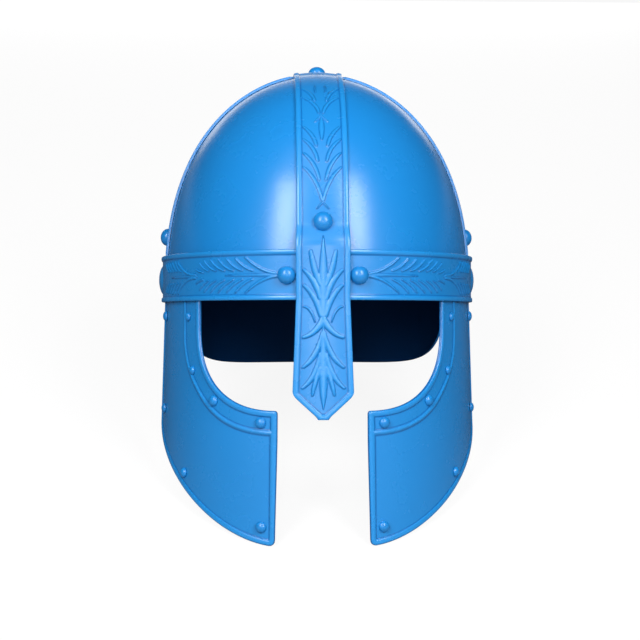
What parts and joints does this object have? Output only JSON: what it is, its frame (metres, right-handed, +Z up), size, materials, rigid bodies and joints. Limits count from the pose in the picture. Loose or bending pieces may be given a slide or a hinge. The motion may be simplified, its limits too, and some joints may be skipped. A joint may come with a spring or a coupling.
{
  "type": "medieval helmet",
  "caption": "Riveted metal helmet with crossed crown bands, a nasal, a brow band, cheek plates and a neck guard, resting on its plate tips.",
  "frame": {"origin": "on the floor under the middle of the helmet's box, as it rests on its two cheek tips and its neck rim", "axes": "+X to the side that is on the right when the face is seen, -Y the way the face looks, level, +Z up; the helmet is tipped back about X"},
  "size_m": [0.2142, 0.293, 0.2386],
  "materials": {
    "crown_plate": "satin blue paint",
    "centre_band": "satin blue paint on cast relief",
    "band": "satin blue paint on cast relief",
    "hanging_plate": "satin blue paint",
    "rivet": "satin blue paint on domed heads"
  },
  "bodies": {
    "root": {"crown_plate_front_left": "crown_plate", "crown_plate_front_right": "crown_plate", "crown_plate_back_left": "crown_plate", "crown_plate_back_right": "crown_plate", "centre_band": "centre_band", "transverse_band": "band", "brow_band": "band", "cheek_plate_left": "hanging_plate", "cheek_plate_right": "hanging_plate", "neck_guard": "hanging_plate", "front_stud": "rivet", "apex_stud": "rivet", "back_stud": "rivet", "left_stud": "rivet", "right_stud": "rivet", "brow_stud_front_left": "rivet", "brow_stud_front_right": "rivet", "brow_stud_back_left": "rivet", "brow_stud_back_right": "rivet", "cheek_rivet_eye_top_left": "rivet", "cheek_rivet_eye_side_left": "rivet", "cheek_rivet_eye_corner_left": "rivet", "cheek_rivet_eye_front_left": "rivet", "cheek_rivet_chin_front_left": "rivet", "cheek_rivet_chin_side_left": "rivet", "cheek_rivet_rear_top_left": "rivet", "cheek_rivet_rear_foot_left": "rivet", "cheek_rivet_eye_top_right": "rivet", "cheek_rivet_eye_side_right": "rivet", "cheek_rivet_eye_corner_right": "rivet", "cheek_rivet_eye_front_right": "rivet", "cheek_rivet_chin_front_right": "rivet", "cheek_rivet_chin_side_right": "rivet", "cheek_rivet_rear_top_right": "rivet", "cheek_rivet_rear_foot_right": "rivet"}
  },
  "joints": []
}
